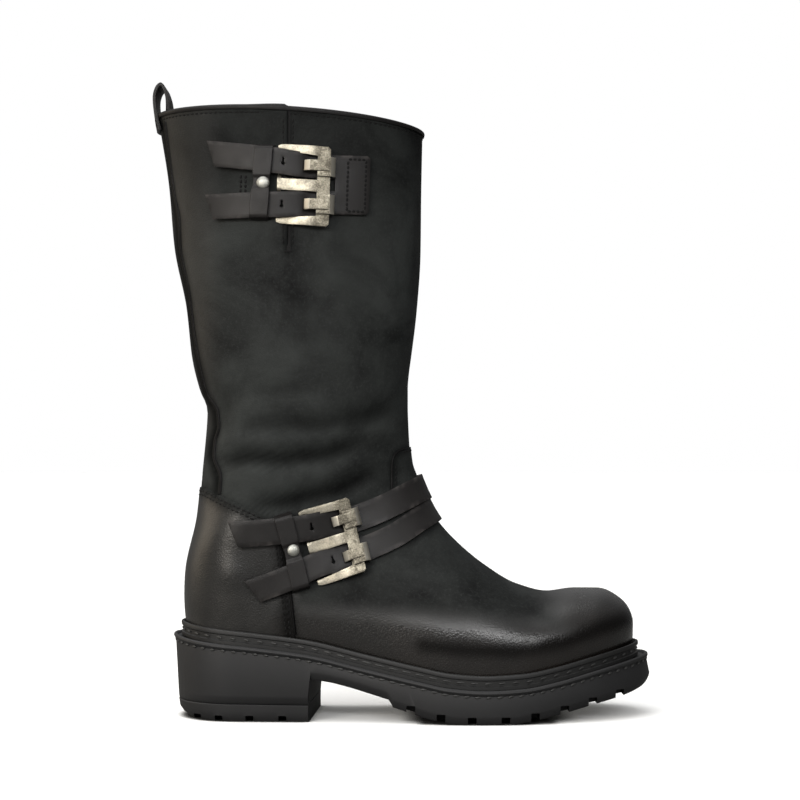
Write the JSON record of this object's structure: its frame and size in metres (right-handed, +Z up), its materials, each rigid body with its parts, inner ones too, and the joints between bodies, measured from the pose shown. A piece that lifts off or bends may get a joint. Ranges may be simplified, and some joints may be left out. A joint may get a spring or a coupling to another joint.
{
  "type": "biker boot",
  "caption": "Pull-on leather biker boot with a lugged rubber sole, stacked heel, pull loop and double-window strap buckles on shaft and instep.",
  "frame": {"origin": "on the floor, under the middle of the boot's bounding box", "axes": "+X towards the toe, +Y towards the wearer's left, the inner side of this right boot, +Z up"},
  "size_m": [0.2921, 0.1092, 0.3698],
  "materials": {
    "upper_leather": "waxed matte black leather, satin where burnished",
    "strap_leather": "smooth brown-black leather, satin",
    "sole_rubber": "matte black moulded rubber",
    "welt_rubber": "matte black moulded rubber",
    "insole_leather": "dark brown lining leather",
    "buckle_metal": "aged nickel with dark hollows",
    "rivet_metal": "satin nickel"
  },
  "bodies": {
    "root": {"upper": "upper_leather", "collar_binding": "strap_leather", "pull_loop": "strap_leather", "shaft_strap": "strap_leather", "instep_strap_upper": "strap_leather", "instep_strap_lower": "strap_leather", "shaft_keeper": "strap_leather", "instep_keeper": "strap_leather", "outsole": "sole_rubber", "heel_lift": "sole_rubber", "welt": "welt_rubber", "insole": "insole_leather", "shaft_buckle_frame": "buckle_metal", "instep_buckle_frame": "buckle_metal", "shaft_prong_upper": "buckle_metal", "shaft_prong_lower": "buckle_metal", "instep_prong_upper": "buckle_metal", "instep_prong_lower": "buckle_metal", "shaft_rivet": "rivet_metal", "instep_rivet": "rivet_metal"}
  },
  "joints": []
}
